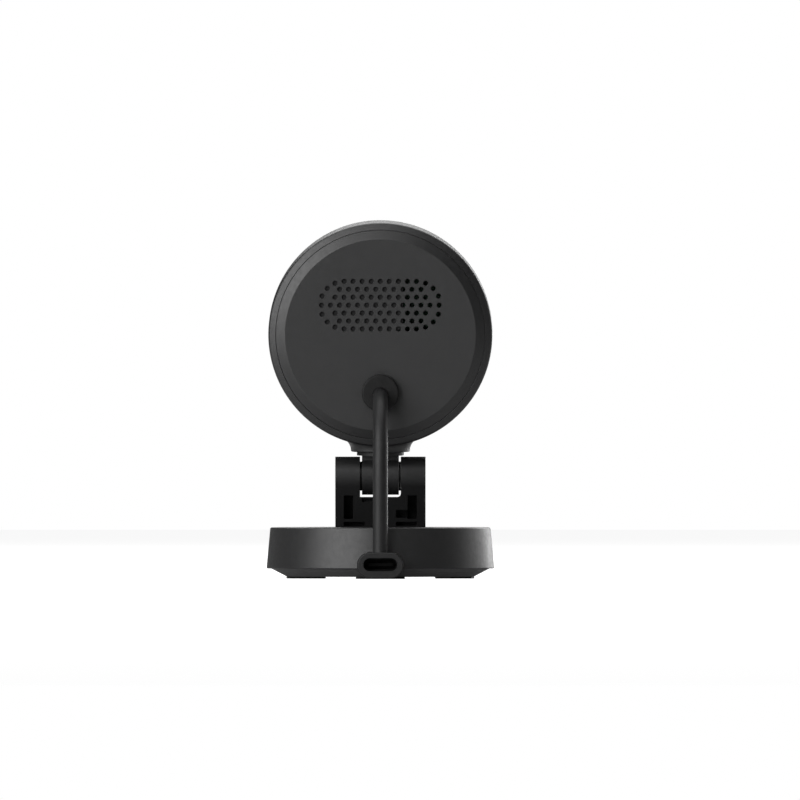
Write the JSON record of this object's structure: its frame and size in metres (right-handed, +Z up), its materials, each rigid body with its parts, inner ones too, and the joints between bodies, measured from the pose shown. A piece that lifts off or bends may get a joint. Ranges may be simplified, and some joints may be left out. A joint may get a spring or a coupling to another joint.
{
  "type": "indoor camera on hinged desk stand",
  "caption": "Round-headed indoor camera with rear speaker grille and short fixed cable, on a swivelling, tilting hinge over a round weighted desk base.",
  "frame": {"origin": "on the desk, under the centre of the round base", "axes": "+Z up, +Y the way the lens looks, -Y the way the power socket faces, +X to the right as seen from behind"},
  "size_m": [0.061, 0.0669, 0.0961],
  "materials": {
    "matte_black": "fine-textured matte black polycarbonate",
    "hinge_black": "smooth matte black glass-filled nylon",
    "black_rubber": "matte black silicone rubber",
    "cable_jacket": "satin black cable jacket",
    "port_black": "matte black moulding",
    "pan_black": "dull black polycarbonate",
    "socket_black": "black-plated shell and black tongue",
    "port_steel": "nickel-plated pressed steel can",
    "screw_steel": "zinc-plated steel",
    "zinc_steel": "zinc-plated steel plate",
    "green_board": "solder-masked circuit board",
    "white_nylon": "natural nylon",
    "inner_black": "matte black moulding",
    "mesh_cloth": "woven acoustic cloth",
    "bare_aluminium": "bare extruded aluminium",
    "antenna_brass": "copper foil antenna",
    "lens_glass": "coated optical glass",
    "led_resin": "dark clear resin",
    "light_clear": "clear light pipe",
    "window_gloss": "gloss black infrared-clear acrylic"
  },
  "bodies": {
    "base": {"base_shell": "matte_black", "base_pan": "pan_black", "ballast_plate": "zinc_steel", "foot_pads": "black_rubber", "pan_screws": "screw_steel", "yoke": "hinge_black", "yoke_screws": "screw_steel", "hinge_bolt": "screw_steel", "hinge_nut": "screw_steel", "hinge_washers": "hinge_black", "hinge_caps": "hinge_black", "port_housing": "port_black", "port_shell": "socket_black", "port_tongue": "socket_black", "port_board": "green_board", "cable": "cable_jacket"},
    "knuckle": {"knuckle": "hinge_black", "swivel_washer": "screw_steel", "swivel_screw": "screw_steel"},
    "head": {"head_housing": "matte_black", "rear_cover": "matte_black", "cable_boot": "black_rubber", "cable_connector": "white_nylon", "speaker": "inner_black", "speaker_mesh": "mesh_cloth", "main_board": "green_board", "board_screws": "screw_steel", "heat_spreader": "bare_aluminium", "wifi_antenna": "antenna_brass", "lens_holder": "inner_black", "holder_screws": "screw_steel", "sensor_board": "green_board", "lens_barrel": "inner_black", "lens_glass": "lens_glass", "lens_elements": "lens_glass", "led_board": "inner_black", "infrared_leds": "led_resin", "status_light": "light_clear", "microphone": "port_steel", "front_window": "window_gloss", "front_bezel": "matte_black"}
  },
  "joints": [
    {"name": "head_tilt", "type": "hinge", "parent": "base", "child": "knuckle", "pos_m": [0, 0, 0.0274], "axis": [1, 0, 0], "range_deg": [-10, 25], "deforming": ["cable"]},
    {"name": "head_swivel", "type": "hinge", "parent": "knuckle", "child": "head", "pos_m": [0, 0, 0.0274], "axis": [0, -0.0349, 0.9994], "range_deg": [-30, 30], "deforming": ["cable"]}
  ]
}
